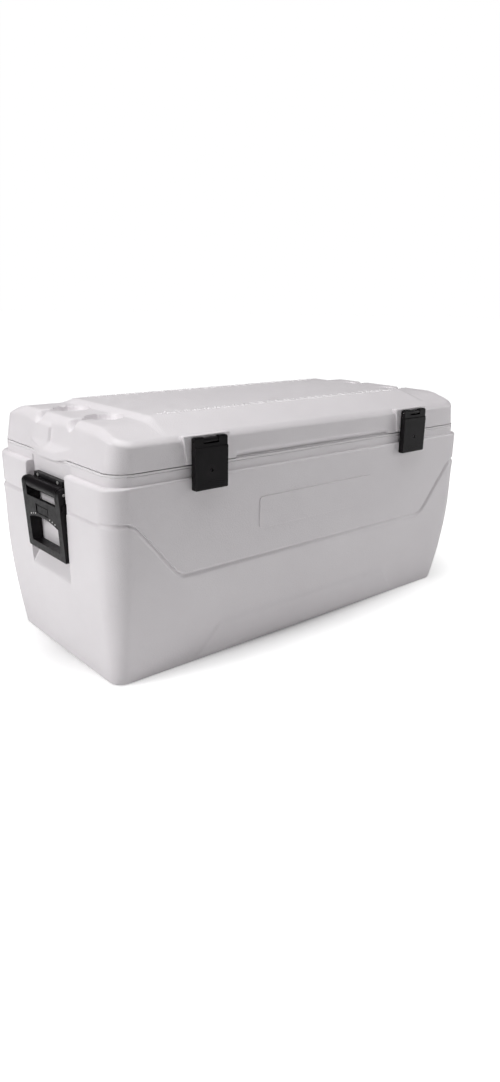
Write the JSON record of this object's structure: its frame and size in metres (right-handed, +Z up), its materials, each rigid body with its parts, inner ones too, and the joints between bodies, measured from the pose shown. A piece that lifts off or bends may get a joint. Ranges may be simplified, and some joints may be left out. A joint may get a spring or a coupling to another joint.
{
  "type": "chest cooler",
  "caption": "Large white insulated chest cooler with a hinged lid, drain-grooved cup wells, front toggle latches, swing-up end handles and a screw-cap drain.",
  "frame": {"origin": "middle of the footprint, on the ground", "axes": "+X along the length towards the drain end, +Y towards the hinges, +Z up"},
  "size_m": [1.101, 0.533, 0.529],
  "materials": {
    "white_shell": "satin",
    "white_liner": "satin",
    "white_fittings": "satin",
    "black_plastic": "satin",
    "foam": "matte",
    "steel": "satin",
    "rubber": "matte"
  },
  "bodies": {
    "body": {"outer_shell": "white_shell", "liner": "white_liner", "body_foam": "foam", "drain_body": "white_fittings", "drain_nut": "white_fittings", "drain_gasket": "rubber", "hinge_body_leaf_left": "white_fittings", "hinge_pin_left": "steel", "handle_bracket_left": "black_plastic", "handle_pin_left": "steel", "hinge_body_screw_left_1": "steel", "handle_screw_left_1": "steel", "hinge_body_screw_left_2": "steel", "handle_screw_left_2": "steel", "hinge_body_leaf_right": "white_fittings", "hinge_pin_right": "steel", "handle_bracket_right": "black_plastic", "handle_pin_right": "steel", "hinge_body_screw_right_1": "steel", "handle_screw_right_1": "steel", "hinge_body_screw_right_2": "steel", "handle_screw_right_2": "steel"},
    "lid": {"lid_shell": "white_shell", "lid_liner": "white_liner", "lid_foam": "foam", "hinge_lid_leaf_left": "white_fittings", "latch_base_left": "black_plastic", "hinge_lid_screw_left_1": "steel", "latch_screw_left_1": "steel", "hinge_lid_screw_left_2": "steel", "latch_screw_left_2": "steel", "hinge_lid_leaf_right": "white_fittings", "latch_base_right": "black_plastic", "hinge_lid_screw_right_1": "steel", "latch_screw_right_1": "steel", "hinge_lid_screw_right_2": "steel", "latch_screw_right_2": "steel"},
    "latch_left": {"latch_lever_left": "black_plastic", "latch_pin_left": "steel"},
    "latch_right": {"latch_lever_right": "black_plastic", "latch_pin_right": "steel"},
    "handle_left": {"handle_bail_left": "black_plastic"},
    "handle_right": {"handle_bail_right": "black_plastic"},
    "drain_seal": {"drain_cap_gasket": "rubber"},
    "drain_cap": {"drain_cap": "white_fittings"}
  },
  "joints": [
    {"name": "lid_hinge", "type": "hinge", "parent": "body", "child": "lid", "pos_m": [0, 0.261, 0.441], "axis": [-1, 0, 0], "range_deg": [0, 105]},
    {"name": "latch_left_hinge", "type": "hinge", "parent": "lid", "child": "latch_left", "pos_m": [-0.3125, -0.259, 0.4895], "axis": [-1, 0, 0], "range_deg": [0, 150]},
    {"name": "latch_right_hinge", "type": "hinge", "parent": "lid", "child": "latch_right", "pos_m": [0.3125, -0.259, 0.4895], "axis": [-1, 0, 0], "range_deg": [0, 150]},
    {"name": "handle_left_hinge", "type": "hinge", "parent": "body", "child": "handle_left", "pos_m": [-0.538, 0, 0.3765], "axis": [0, 1, 0], "range_deg": [0, 95]},
    {"name": "handle_right_hinge", "type": "hinge", "parent": "body", "child": "handle_right", "pos_m": [0.538, 0, 0.3765], "axis": [0, -1, 0], "range_deg": [0, 95]},
    {"name": "drain_cap_travel", "type": "slide", "parent": "body", "child": "drain_seal", "axis": [1, 0, 0], "range_m": [0, 0.0121]},
    {"name": "drain_cap_turn", "type": "hinge", "parent": "drain_seal", "child": "drain_cap", "pos_m": [0.5373, 0, 0.062], "axis": [1, 0, 0], "range_deg": [0, 720]}
  ],
  "couplings": [
    {"joint": "drain_cap_travel", "follows": "drain_cap_turn", "m_per_rad": 0.00095493}
  ]
}
